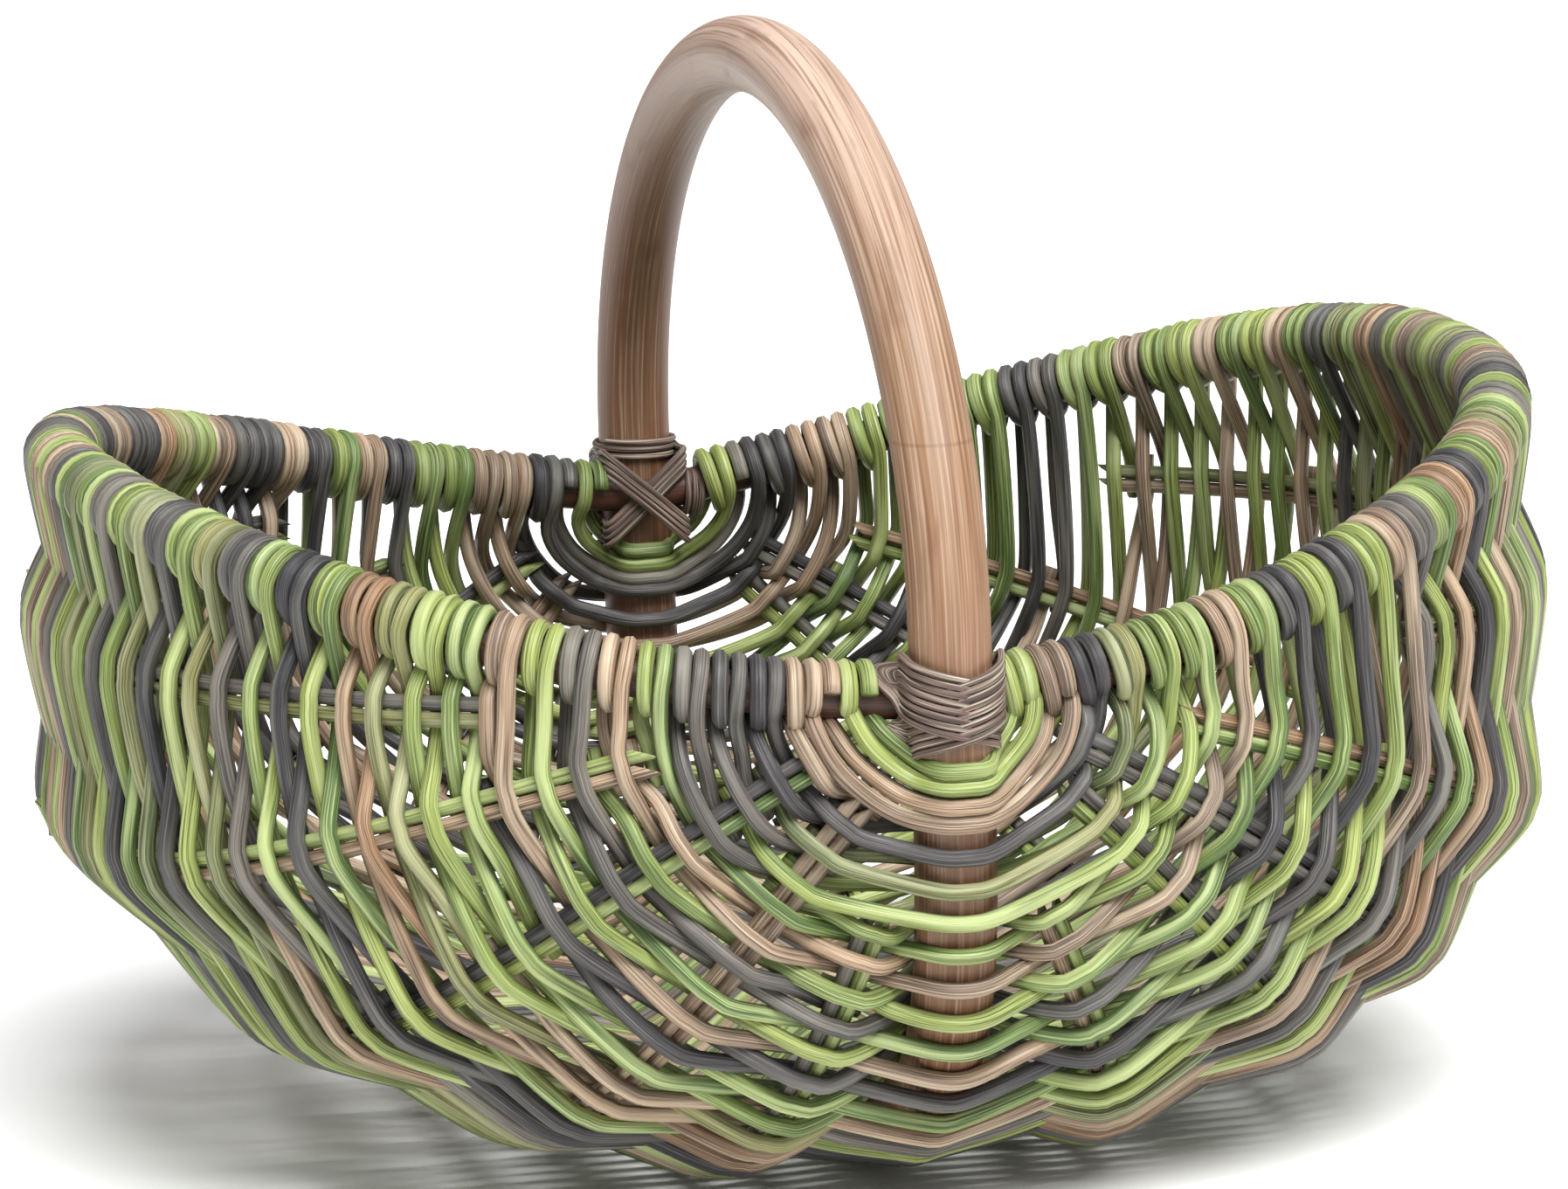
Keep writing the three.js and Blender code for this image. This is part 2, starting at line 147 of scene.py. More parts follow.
# Dyes of the turns round the rim, from the ear to the middle. The first of each half is on the left,
# the next on the right, and so on
FRONT_DYES = """
    green green green tan tan charcoal charcoal olive grey green grey green green tan tan green
    grey charcoal green green tan charcoal green green green tan olive grey rust green green rust
    charcoal charcoal green green grey tan olive olive green green charcoal grey olive green green
    charcoal grey grey green tan olive green green grey grey olive tan green green
""".split()
BACK_DYES = """
    green green green grey charcoal charcoal tan tan tan tan green green green green charcoal charcoal
    tan green green green charcoal charcoal tan grey charcoal green charcoal green tan tan green green
    olive green rust tan charcoal green charcoal green tan tan tan green charcoal charcoal grey olive
    green green tan rust charcoal grey grey green green tan tan olive green
""".split()

# Noises along and round a cane or pole, in waves per metre
CANE_STREAKS = (26, 2100, 2100)
CANE_PATCHES = (15, 260, 260)
CANE_DRIFT = (4.5, 60, 60)
POLE_GRAIN = (14, 1100, 1100)
POLE_BANDS = (5, 170, 170)
POLE_BLOTCHES = (30, 90, 90)
SPLIT_STREAKS = (40, 2000, 2000)
SPLIT_DRIFT = (12, 200, 200)
GRAIN_ROUGHNESS = 0.6
PLACE_RANGE = 100  # within which each cane starts at a place of its own in the noises

# What the noises give, as the two ends of a noise's range and then what it gives at either
DRIFT_TO_WARM = (0.38, 0.62)
DARK_STREAKS = (0.5, 0.38, 0, 0.85)
PALE_PATCHES = (0.5, 0.66, 0, 0.65)
PALE_STREAKS = (0.54, 0.66, 0, 0.7)
CANE_ROUGHNESS = (0.35, 0.65, 0.6, 0.42)
DARK_BANDS = (0.4, 0.66, 0, 0.45)
DARK_GRAIN = (0.5, 0.36, 0, 0.6)
PALE_GRAIN = (0.54, 0.68, 0, 0.4)
DARK_BLOTCHES = (0.58, 0.72, 0, 0.45)
POLE_ROUGHNESS = (0.35, 0.65, 0.4, 0.55)
RIM_GRAIN = (0.4, 0.6)
SPLIT_TONES = (0.3, 0.7)
SPLIT_DARK_STREAKS = (0.5, 0.38, 0, 0.8)
SPLIT_PALE_STREAKS = (0.52, 0.68, 0, 0.5)
SPLIT_ROUGHNESS = (0.3, 0.7, 0.65, 0.5)

# Bump of the surfaces, as its strength and its depth in metres
CANE_BUMP = (0.8, 0.0006)
POLE_BUMP = (0.4, 0.0003)
SPLIT_BUMP = (0.6, 0.0003)

# Tones of a dye: tints by which it drifts along a cane, to warm and to cool, and how light each is
GREEN_TINTS = ((1.08, 1, 0.78), (0.78, 1.05, 0.9))
OTHER_TINTS = ((1.08, 1, 0.9), (0.98, 0.99, 1.05))
WARM_TONE = 1.5
COOL_TONE = 0.66
DARK_TONE = 0.22
PALE_TONE = 2.2
DYED_SHARE = 0.72  # of the dye in the pale streaks, the rest of which is bare fibre
DARK_DYES = ("charcoal", "grey")
DARK_DYE_STREAKS_SHARE = 0.5  # of the pale streaks, on those dyes
BAND_TONE = 1.5
RIM_TONES = (0.6, 1.5)
SPLIT_CANE_TONES = (0.6, 1.5, 0.3)  # dark, light, and of the dark streaks

# Where the tone of the pole changes, by height and by depth from front to back, and how much
# Heights over which the top of the handle turns paler: a painted highlight where light falls from above
HIGHLIGHT_HEIGHTS = (0.26, 0.335)
FAR_DEPTHS = (-0.06, 0.15)
FAR_SHARE = 0.55
FOOT_HEIGHTS = (0.2, 0.14)
FOOT_SHARE = 0.4

# Line of the pole's knot that shows on the near leg of the handle
KNOT_HEIGHT = 0.2365
KNOT_HALF_WIDTH = 0.0005
KNOT_SHARE = 0.35

# Lashing of the front crossing: bands that slope up and down by turns, and fan out over the rim
BANDS = 16
BAND_PITCH = 0.0012
BAND_SLOPE = 0.006  # by which a band rises or falls on its way to either side of the pole
BAND_LIFT = 0.0016  # of one band over another where they cross
BAND_STEEPNESS = 4  # of that lift
DIAGONAL_SHARE = math.sqrt(0.5)
FAN_LEFT = 0.0078
FAN_RIGHT = 0.0022
FAN_RISE = 0.0024

# Lashing of the back crossing: turns round the rim, turns one way and the other, and rings round the pole
LASH_TURNS = 4
LASH_PITCH = 0.0023
LASH_LIFT = 0.0029
RIM_TURNS = 3
POLE_RINGS = 3
LASH_BENDS = 6
LASH_STEP = 0.0011

# Sides of the round forms
CANE_SIDES = 14
RIB_SIDES = 21
POLE_SIDES = 48
RIM_SIDES = 20
LASH_SIDES = 8

# Camera, as in the photograph, and the stage
CAMERA_AZIMUTH = math.radians(-13.635)
CAMERA_ELEVATION = math.radians(10.106)
CAMERA_ROLL = math.radians(-1.961)
CAMERA_DISTANCE = 2.386
CAMERA_TARGET = Vector((0.0044, 0, 0.1595))
CAMERA_LENS = 175.47  # millimetres
CAMERA_SENSOR = 36  # millimetres
CAMERA_SHIFT_SHARE = -0.0069  # of the picture's width
FLOOR_REACH = 9
FLOOR_ROUGHNESS = 0.8
SKY_STRENGTH = 0.44
KEY_STRENGTH = 5.3
KEY_SPREAD = math.radians(45)
KEY_ELEVATION = math.radians(58)
KEY_AZIMUTH = math.radians(12)


def length(name, description, default):
    """A size of the basket, in metres."""
    return FloatProperty(name=name, description=description, default=default, unit='LENGTH')


def dye(name, description, default):
    """A colour of the basket, as it is seen on a screen."""
    return FloatVectorProperty(
        name=name, description=description, default=default, subtype='COLOR_GAMMA', min=0, max=1)


class BasketSizes(bpy.types.PropertyGroup):
    """Sizes of the basket, as in its source."""
    rim_length: length("Rim length", "Tip to tip, between the middles of the rim's pole", 0.44)
    rim_width: length("Rim width", "Ear to ear, between the middles of the rim's pole", 0.388)
    ear_height: length("Ear height", "Middle of the rim's pole at the ears", 0.162)
    tip_height_left: length("Left tip height", "Middle of the rim's pole at its left tip", 0.214)
    tip_height_right: length("Right tip height", "Middle of the rim's pole at its right tip", 0.2205)
    belly_bulge: length("Belly bulge", "How far the outermost ribs bulge past each tip", 0.009)
    belly_height: length("Belly height", "At which the belly is longest", 0.131)
    leg_height: length("Leg height", "Of the handle's straight legs, above the ears", 0.021)
    arch_height: length("Arch height", "Of the handle's arch above its legs", 0.145)
    pole_radius: length("Pole radius", "Of the handle and the keel", 0.012)
    rim_radius: length("Rim radius", "Of the rim's pole", 0.006)
    cane_radius: length("Rib cane radius", "Of each of the two canes of a rib", 0.00225)
    strand: length("Weaving cane", "Thickness of a cane of the weave", 0.005)
    lash_radius: length("Lashing radius", "Of the cane of the lashings", 0.0011)
    gap: length("Gap", "Between a strand of the frame and what it passes", 0.0004)
    seat_gap: length("Seat gap", "Between pieces that seat on each other", 0.0003)
    notch: length("Notch", "Depth of the pole's notch for the rim", 0.008)
    foot_cut: length("Foot cut", "Wear of the lowest strands of the frame", 0.0006)


class BasketColours(bpy.types.PropertyGroup):
    """Colours of the basket."""
    green: dye("Green", "Yellow-green cane", (0.47, 0.525, 0.3))
    olive: dye("Olive", "Olive grey-green cane", (0.43, 0.44, 0.3))
    charcoal: dye("Charcoal", "Charcoal cane", (0.23, 0.225, 0.24))
    grey: dye("Grey", "Warm grey cane", (0.36, 0.35, 0.335))
    tan: dye("Tan", "Tan to taupe cane", (0.53, 0.455, 0.385))
    rust: dye("Rust", "Rust brown cane", (0.5, 0.4, 0.31))
    fibre: dye("Fibre", "Pale streaks of bare fibre in each cane", (0.86, 0.85, 0.74))
    pole: dye("Pole", "Peeled pole of the handle", (0.585, 0.475, 0.37))
    # Pale grain of the pole, also used for the painted highlight on the top of the handle
    pole_pale_grain_and_highlight: dye("Pole worn", "Paler wood of that pole at the top, where it is held", (0.79, 0.69, 0.62))
    pole_dark: dye("Pole grain", "Dark grain of that pole", (0.4, 0.245, 0.145))
    rim: dye("Rim", "Pole of the rim, where it shows", (0.3, 0.18, 0.13))
    lashing: dye("Lashing", "Split cane of the lashings", (0.41, 0.33, 0.3))
    floor: dye("Floor", "Pale floor", (0.98, 0.98, 0.98))


def sizes():
    """The basket's sizes."""
    return bpy.context.scene.basket_sizes


def linear(name):
    """A colour of the basket for a shader."""
    colour = Color(getattr(bpy.context.scene.basket_colours, name))
    return (*colour.from_srgb_to_scene_linear(), 1)


def blend(first, second, share):
    """The value at a share of the way from the first to the second."""
    return first + (second - first) * share


def smooth(share):
    """A share that starts and stops gently."""
    share = np.clip(share, 0, 1)
    return share * share * (3 - 2 * share)


def unit(vectors):
    """Vectors of length 1."""
    return vectors / np.linalg.norm(vectors, axis=-1, keepdims=True)


def distances(points):
    """How far along a line each of its points lies."""
    return np.r_[0, np.cumsum(np.linalg.norm(np.diff(points, axis=0), axis=1))]


def even_points(points, count):
    """That many points at even distances along a line."""
    along = distances(points)
    wanted = np.linspace(0, along[-1], count)
    return np.stack([np.interp(wanted, along, points[:, i]) for i in range(3)], axis=1)


def on_ground(line, reach):
    """The line of a cane that lies on the ground where it would be lower, its reach below its line."""
    line = np.array(line)
    line[:, 2] = np.maximum(line[:, 2], reach)
    return line


def smooth_path(points, step):
    """A smooth line through points, as points a step apart."""
    points = np.array(points)
    ends = [2 * points[:1] - points[1:2], points, 2 * points[-1:] - points[-2:-1]]
    p = np.concatenate(ends)
    knots = np.r_[0, np.cumsum(np.sqrt(np.linalg.norm(np.diff(p, axis=0), axis=1)))]
    share = np.arange(PATH_PARTS) / PATH_PARTS
    dense = []
    for i in range(1, len(p) - 2):
        t0, t1, t2, t3 = knots[i - 1:i + 3]
        t = blend(t1, t2, share)[:, None]
        a1 = (t1 - t) / (t1 - t0) * p[i - 1] + (t - t0) / (t1 - t0) * p[i]
        a2 = (t2 - t) / (t2 - t1) * p[i] + (t - t1) / (t2 - t1) * p[i + 1]
        a3 = (t3 - t) / (t3 - t2) * p[i + 1] + (t - t2) / (t3 - t2) * p[i + 2]
        b1 = (t2 - t) / (t2 - t0) * a1 + (t - t0) / (t2 - t0) * a2
        b2 = (t3 - t) / (t3 - t1) * a2 + (t - t1) / (t3 - t1) * a3
        dense.append((t2 - t) / (t2 - t1) * b1 + (t - t1) / (t2 - t1) * b2)
    dense = np.concatenate([*dense, points[-1:]])
    return even_points(dense, max(PATH_LEAST, round(distances(dense)[-1] / step) + 1))


class Wall:
    """The woven wall, as lines from the front ear to the back ear at places round the belly, which are
    angles from the left tip of the rim. The keel is at a quarter turn."""

    def __init__(self, size):
        self.size = size
        self.belly_length = size.rim_length + 2 * size.belly_bulge
        self.tip_angle = math.acos(size.rim_length / self.belly_length)
        self.pole_half_span = size.rim_width / 2 + size.pole_radius + size.rim_radius - size.notch
        self.lowest_share = max(self.belly_shares(math.radians(rib[0]))[1] for rib in RIBS.values())
        past = PLACES_PAST_RIM * PLACE_STEP
        self.places = np.arange(-past, math.pi + past + PLACE_STEP / 2, PLACE_STEP)
        self.points = np.array([self.line(place) for place in self.places])
        self.along, self.across, self.out = self.directions(self.points)
        keel_height = size.pole_radius + size.gap + size.strand - size.foot_cut
        self.keel = self.line(math.pi / 2, (0, keel_height))
        self.keel_length = distances(self.keel)[-1]
        self.rim_span = distances(self.line(0))[-1]

    def belly_shares(self, place):
        """How far out and down the belly is at a place, as shares of its length and depth."""
        angle = place * (1 + 2 * self.tip_angle / math.pi) - self.tip_angle
        c = math.cos(angle)
        s = math.sin(angle)
        if s < 0:
            return c, s / math.sin(self.tip_angle)
        power = 2 / (BELLY_FULLNESS_LEFT if c > 0 else BELLY_FULLNESS_RIGHT)
        return math.copysign(abs(c) ** power, c), s ** power

    def belly(self, place):
        """The belly's outline between the tips of the rim, as x and z."""
        size = self.size
        side_share, depth_share = self.belly_shares(place)
        lowest_rib = size.cane_radius + size.gap + size.strand - size.foot_cut
        reach = (size.belly_height - lowest_rib) / self.lowest_share
        if depth_share < 0:
            reach = (size.tip_height_left if side_share > 0 else size.tip_height_right) - size.belly_height
        return -self.belly_length / 2 * side_share, size.belly_height - reach * depth_share

    def line(self, place, middle=None):
        """The line at a place, as evenly spaced points."""
        x, z = middle or self.belly(place)
        low = math.sin(place) ** 2
        half_span = blend(self.size.rim_width / 2, self.pole_half_span, low)
        fullness = blend(RIM_FULLNESS, KEEL_FULLNESS, low)
        angle = np.linspace(0, math.pi, LINE_STEPS + 1)
        c = np.cos(angle)
        sweep = blend(np.where(c > 0, RIM_SWEEP_FRONT, RIM_SWEEP_BACK), 1, low)
        s = np.maximum(np.sin(angle), 0)
        reach = (np.abs(c) ** fullness + s ** fullness) ** (1 / fullness)
        side = s / reach
        height = blend(self.size.ear_height, z, side ** sweep)
        return even_points(np.stack([x * side, -half_span * c / reach, height], axis=1), LINE_STEPS + 1)

    def directions(self, points):
        """Along the lines, across them from left to right, and out of the wall."""
        along = unit(np.gradient(points, axis=1))
        across = np.gradient(points, axis=0)
        across = across - (across * along).sum(axis=-1, keepdims=True) * along
        across = across + np.cross(np.roll(along, 1, axis=-1), along) * FAINT_SHARE
        across = unit(across)
        return along, across, np.cross(along, across)

    def sample(self, grid, place, share):
        """The value of a grid at a place and a share of its line."""
        column = (place - self.places[0]) / PLACE_STEP
        row = np.clip(share, 0, 1) * LINE_STEPS
        i = np.clip(np.floor(column).astype(int), 0, len(self.places) - 2)
        j = np.clip(np.floor(row).astype(int), 0, LINE_STEPS - 1)
        u = np.expand_dims(column - i, -1)
        v = np.expand_dims(row - j, -1)
        near = blend(grid[i, j], grid[i + 1, j], u)
        return blend(near, blend(grid[i, j + 1], grid[i + 1, j + 1], u), v)

    def surface(self, place, share):
        """Points of the wall, and its three directions there."""
        place = np.asarray(place, dtype=float)
        share = np.asarray(share, dtype=float)
        grids = (self.points, self.along, self.across, self.out)
        point, along, across, out = [self.sample(grid, place, share) for grid in grids]
        return point, unit(along), unit(across), unit(out)

    def keel_point(self, share):
        """The middle of the keel."""
        row = share * LINE_STEPS
        return np.array([np.interp(row, np.arange(LINE_STEPS + 1), self.keel[:, i]) for i in range(3)])

    def arch(self):
        """The middle of the handle above the ears, from the back ear to the front one."""
        size = self.size
        leg = [(0, self.pole_half_span, size.ear_height)]
        angles = np.linspace(0, math.pi, LINE_STEPS)
        top = size.ear_height + size.leg_height
        arch = [(0, self.pole_half_span * math.cos(a), top + size.arch_height * math.sin(a)) for a in angles]
        return np.array([*leg, *arch, (0, -self.pole_half_span, size.ear_height)])


class Half:
    """The rows of one half of the weave, from one ear to the middle."""

    def __init__(self, wall, is_back):
        self.wall = wall
        self.is_back = is_back
        self.random = np.random.default_rng(BACK_SEED if is_back else FRONT_SEED)
        self.dyes = BACK_DYES if is_back else FRONT_DYES
        self.rim_starts = RIM_STARTS_BACK if is_back else RIM_STARTS_FRONT
        self.keel_start_share = KEEL_START / wall.keel_length
        loose = self.random.uniform(PASS_GAP, RIM_LOOSENESS, ROWS + 1)
        self.turn_reaches = wall.size.rim_radius + wall.size.strand / 2 + loose
        self.jitter = self.random.normal(0, ROW_JITTER_SHARE, (ROWS, len(RIBS) + 3))
        self.start_shares = self.rib_start_shares()

    def rib_start_shares(self):
        """The share of each rib's line at which the first row passes it."""
        return {name: (start + RIB_MARGIN) / self.wall.keel_length for name, (_, start, _) in RIBS.items()}

    def share_at(self, row, place):
        """The share of the line at a place at which a row passes it."""
        last = ROWS - 0.5
        rim_start = self.rim_starts[0] if place < math.pi / 2 else self.rim_starts[1]
        rim = blend(rim_start / self.wall.rim_span, 0.5, row / last)
        keel = blend(self.keel_start_share, 0.5, row / last)
        return blend(rim, keel, math.sin(place) ** 2)

    def stations(self, row):
        """What a row passes from left to right, as its name, place, share and side."""
        outermost = RIBS_OF_SIDE + 1
        listed = [("left_rim", 0, outermost), ("keel", math.pi / 2, 0), ("right_rim", math.pi, outermost)]
        for name, (degrees, _, _) in RIBS.items():
            place = math.radians(degrees)
            if self.share_at(row, place) >= self.start_shares[name]:
                listed.append((name, place, outermost - int(name[-1])))
        listed.sort(key=lambda station: station[1])
        space = self.share_at(row + 1, 0) - self.share_at(row, 0)
        result = []
        for i, (name, place, number) in enumerate(listed):
            calm = RIM_CALM_SHARE if number > RIBS_OF_SIDE else 1
            share = self.share_at(row, place) + space * calm * self.jitter[row, i]
            side = 1 if (row + self.is_back + number) % 2 else -1
            if name == "keel" and row < KEEL_FIRST_ROWS:
                side = -1 if self.is_back else 1
            result.append((name, place, 1 - share if self.is_back else share, side))
        return result

    def turn_point(self, turn, place, share, side, angle):
        """A point of a turn round the rim, the angle being measured from below the rim by the side."""
        point, _, across, out = self.wall.surface(place, share)
        reach = self.turn_reaches[turn]
        inward = across if place < math.pi / 2 else -across
        return point + reach * (math.cos(angle) * inward + math.sin(angle) * side * out)

    def passing(self, turn, station, shift=0):
        """The points by which a row passes a station."""
        name, place, share, side = station
        size = self.wall.size
        if "rim" in name:
            return [self.turn_point(turn, place, share, side, TURN_FIRST)]
        point, along, across, out = self.wall.surface(place, share)
        point = point + along * shift
        if name == "keel":
            point = self.wall.keel_point(share) + along * shift
            reach = size.pole_radius + size.strand / 2 + PASS_GAP
            return [point + reach * (math.sin(a) * across + math.cos(a) * side * out) for a in KEEL_ANGLES]
        reach = size.cane_radius + size.strand / 2 + PASS_GAP
        beside = 2 * size.cane_radius - size.gap
        return [point + across * beside * i + out * side * reach for i in SPREAD_ACROSS_SHARES]

    def between(self, first, second, start, end):
        """The points of a row between two stations, which it leaves at start and meets at end."""
        span = second[1] - first[1]
        count = round(span / POINT_SPAN)
        follow = np.interp(span, (STRAIGHT_SPAN, CURVED_SPAN), (STRAIGHT_FOLLOW_SHARE, 1))
        reach = self.wall.size.cane_radius + self.wall.size.strand / 2
        points = []
        for i in range(1, count + 1):
            share = i / (count + 1)
            point, _, _, out = self.wall.surface(
                blend(first[1], second[1], share), blend(first[2], second[2], share))
            point = point + out * reach * blend(first[3], second[3], smooth(share))
            points.append(blend(blend(start, end, share), point, follow))
        return points

    def row_parts(self, row):
        """A row in its own direction, as its stations and, for each, its points and those after it."""
        stations = self.stations(row)
        leftward = row % 2
        turns = [row + 1, row] if leftward else [row, row + 1]
        passes = [self.passing(turns[0], station) for station in stations[:-1]]
        passes.append(self.passing(turns[1], stations[-1]))
        gaps = []
        for i in range(len(stations) - 1):
            gaps.append(self.between(stations[i], stations[i + 1], passes[i][-1], passes[i + 1][0]))
        if leftward:
            stations = stations[::-1]
            passes = [each[::-1] for each in passes[::-1]]
            gaps = [each[::-1] for each in gaps[::-1]]
        return stations, passes, [*gaps, []]

    def turn_points(self, turn, before, after):
        """A turn round the rim, from the station that it arrives at to the one that it leaves."""
        first, last = TURN_FIRST, TURN_LAST
        if before is None:
            first = TURN_LAST - FIRST_HOOK
            before = (after[0], after[1], after[2], -after[3])
        if after is None:
            last = TURN_FIRST + LAST_HOOK
            after = before
        steps = round((last - first) / TURN_STEP)
        points = []
        for i in range(1, steps):
            angle = blend(first, last, i / steps)
            share = smooth((angle - SHIFT_FIRST) / (SHIFT_LAST - SHIFT_FIRST))
            at = blend(before[2], after[2], share)
            points.append(self.turn_point(turn, before[1], at, before[3], angle))
        return points

    def tips(self, stations, passes, row, index):
        """The end of one cane and the start of the next, both held by one rib."""
        station = stations[index]
        shift = -TIP_SHIFT if self.is_back else TIP_SHIFT
        ends = []
        for way in (-1, 1):
            points = self.passing(row, station, shift * way)
            if row % 2:
                points = points[::-1]
            heading = points[-1] - points[0]
            heading = heading / np.linalg.norm(heading)
            out = self.wall.surface(station[1], station[2])[3] * station[3]
            end = points[-1] if way < 0 else points[0]
            tip = end - way * heading * TIP_PAST + out * TIP_RISE
            ends.append([*points, tip] if way < 0 else [tip, *points])
        return ends

    def held_behind(self, stations):
        """Which of a row's stations are ribs that hide a joint of canes from the front: it lies on their
        inside on the front half, and on their outside on the back half."""
        hidden = 1 if self.is_back else -1
        return [i for i, (name, _, _, side) in enumerate(stations) if side == hidden and name in RIBS]

    def canes(self):
        """The canes of this half, as (points, dye, mean row). Where the dye changes, the next cane starts
        at a rib of the row, or at the turn before it where the row has no rib."""
        parts = [self.row_parts(row) for row in range(ROWS)]
        current = self.dyes[0]
        points = self.turn_points(0, None, parts[0][0][0])
        first_row = 0
        result = []
        for row, (stations, passes, gaps) in enumerate(parts):
            joint = None
            if self.dyes[row + 1] != current:
                joint = int(self.random.choice(self.held_behind(stations)))
            for i, (here, gap) in enumerate(zip(passes, gaps)):
                if i == joint:
                    end, start = self.tips(stations, passes, row, i)
                    result.append((points + end, current, (first_row + row) / 2))
                    points = list(start)
                    first_row = row
                    current = self.dyes[row + 1]
                else:
                    points.extend(here)
                points.extend(gap)
            after = parts[row + 1][0] if row + 1 < ROWS else None
            if after and self.dyes[row + 2] != current and not self.held_behind(after):
                points.extend(self.turn_points(row + 1, stations[-1], None))
                result.append((points, current, (first_row + row + 1) / 2))
                points = self.turn_points(row + 1, None, after[0])
                first_row = row + 1
                current = self.dyes[row + 2]
            else:
                points.extend(self.turn_points(row + 1, stations[-1], after and after[0]))
        result.append((points, current, (first_row + ROWS) / 2))
        return result


def profile(radius, sides, ridges=0):
    """A ring that a cane is drawn from, round or with ridges."""
    data = bpy.data.curves.new("profile", 'CURVE')
    data.dimensions = '2D'
    spline = data.splines.new('POLY')
    spline.points.add(sides - 1)
    for i, point in enumerate(spline.points):
        angle = 2 * math.pi * i / sides
        reach = radius * (1 + RIDGE_DEPTH_SHARE * math.cos(ridges * angle) * (ridges > 0))
        point.co = (reach * math.cos(angle), reach * math.sin(angle), 0, 1)
    spline.use_cyclic_u = True
    ring = bpy.data.objects.new("profile", data)
    bpy.context.scene.collection.objects.link(ring)
    return ring


def draw_canes(name, canes, shape, materials, is_hoop=False):
    """One mesh of canes drawn along lines, each given as (points, share of the shape's size, material).
    The shape is a ring's radius, sides and ridges. The point attribute cane holds how far along its cane
    each point lies, and where round it."""
    ring = profile(*shape)
    data = bpy.data.curves.new(name, 'CURVE')
    data.dimensions = '3D'
    data.bevel_mode = 'OBJECT'
    data.bevel_object = ring
    for material in materials:
        data.materials.append(material)
    for points, size_share, index in canes:
        spline = data.splines.new('POLY')
        spline.points.add(len(points) - 1)
        spline.points.foreach_set("co", np.c_[points, np.ones(len(points))].ravel())
        spline.points.foreach_set("radius", np.full(len(points), size_share))
        spline.use_cyclic_u = is_hoop
        spline.use_smooth = True
        spline.material_index = index
    drawn = bpy.data.objects.new(name, data)
    bpy.context.scene.collection.objects.link(drawn)
    graph = bpy.context.evaluated_depsgraph_get()
    mesh = bpy.data.meshes.new_from_object(drawn.evaluated_get(graph))
    around = np.array([point.co[:2] for point in ring.data.splines[0].points])
    bpy.data.objects.remove(drawn)
    bpy.data.objects.remove(ring)
    random = np.random.default_rng(sum(map(ord, name)))
    places = []
    for points, size_share, _ in canes:
        along = distances(points) + random.uniform(0, PLACE_RANGE)
        rows = [np.repeat(along, len(around)), *(np.tile(around * size_share, (len(points), 1)).T)]
        places.append(np.stack(rows, axis=1))
    attribute = mesh.attributes.new("cane", 'FLOAT_VECTOR', 'POINT')
    attribute.data.foreach_set("vector", np.concatenate(places).ravel())
    return mesh


def close_ends(mesh):
    """Closes the cut ends of the canes of a mesh."""
    shape = bmesh.new()
    shape.from_mesh(mesh)
    edges = [edge for edge in shape.edges if edge.is_boundary]
    caps = bmesh.ops.holes_fill(shape, edges=edges, sides=0)["faces"]
    for cap in caps:
        beside = [face for face in cap.edges[0].link_faces if face != cap]
        cap.material_index = beside[0].material_index
    shape.to_mesh(mesh)
    shape.free()


def put(name, mesh, nodes):
    """Adds a finished mesh as a piece that stands for nodes of the frame."""
    piece = bpy.data.objects.new(name, mesh)
    bpy.context.scene.collection.objects.link(piece)
    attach(piece, "root")
    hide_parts(*nodes)
    return piece


class Finish:
    """A material whose nodes are added one by one."""

    def __init__(self, name):
        self.material = bpy.data.materials.new(name)
        self.material.use_nodes = True
        self.tree = self.material.node_tree
        self.shader = self.tree.nodes["Principled BSDF"]
        self.place = self.add('ShaderNodeAttribute', {}, attribute_name="cane").outputs["Vector"]

    def add(self, kind, inputs, **settings):
        """Adds a node with its inputs, each a value or another node's output."""
        node = self.tree.nodes.new(kind)
        for key, value in settings.items():
            setattr(node, key, value)
        for key, value in inputs.items():
            self.join(value, node.inputs[key])
        return node

    def join(self, value, socket):
        """Sets or links an input."""
        if isinstance(value, bpy.types.NodeSocket):
            self.tree.links.new(value, socket)
        else:
            socket.default_value = value

    def noise(self, scale, detail=2, roughness=0.5):
        """Noise over the cane, with its own scale along and round it."""
        vector = self.add('ShaderNodeVectorMath', {0: self.place, 1: scale}, operation='MULTIPLY')
        inputs = {"Vector": vector.outputs[0], "Scale": 1, "Detail": detail, "Roughness": roughness}
        return self.add('ShaderNodeTexNoise', inputs).outputs["Fac"]

    def between(self, value, low, high, start=0, end=1):
        """A value stretched from one range to another and held there."""
        inputs = {"Value": value, "From Min": low, "From Max": high, "To Min": start, "To Max": end}
        return self.add('ShaderNodeMapRange', inputs).outputs["Result"]

    def mix(self, share, first, second):
        """One colour mixed into another."""
        node = self.add('ShaderNodeMix', {}, data_type='RGBA')
        self.join(share, node.inputs["Factor"])
        self.join(first, node.inputs[6])
        self.join(second, node.inputs[7])
        return node.outputs[2]

    def finished(self, tone, height, roughness, bump):
        """The material, of a tone, a roughness by the range of a height, and a bump of that height."""
        self.join(tone, self.shader.inputs["Base Color"])
        if roughness:
            self.join(self.between(height, *roughness), self.shader.inputs["Roughness"])
        strength, distance = bump
        inputs = {"Height": height, "Strength": strength, "Distance": distance}
        self.join(self.add('ShaderNodeBump', inputs).outputs["Normal"], self.shader.inputs["Normal"])
        return self.material


def shade(colour, factor):
    """A darker or lighter colour."""
    return (*[channel * factor for channel in colour[:3]], 1)


def tinted(colour, factor, tint):
    """A darker or lighter colour with a tint."""
    return (*[factor * a * b for a, b in zip(colour, tint)], 1)


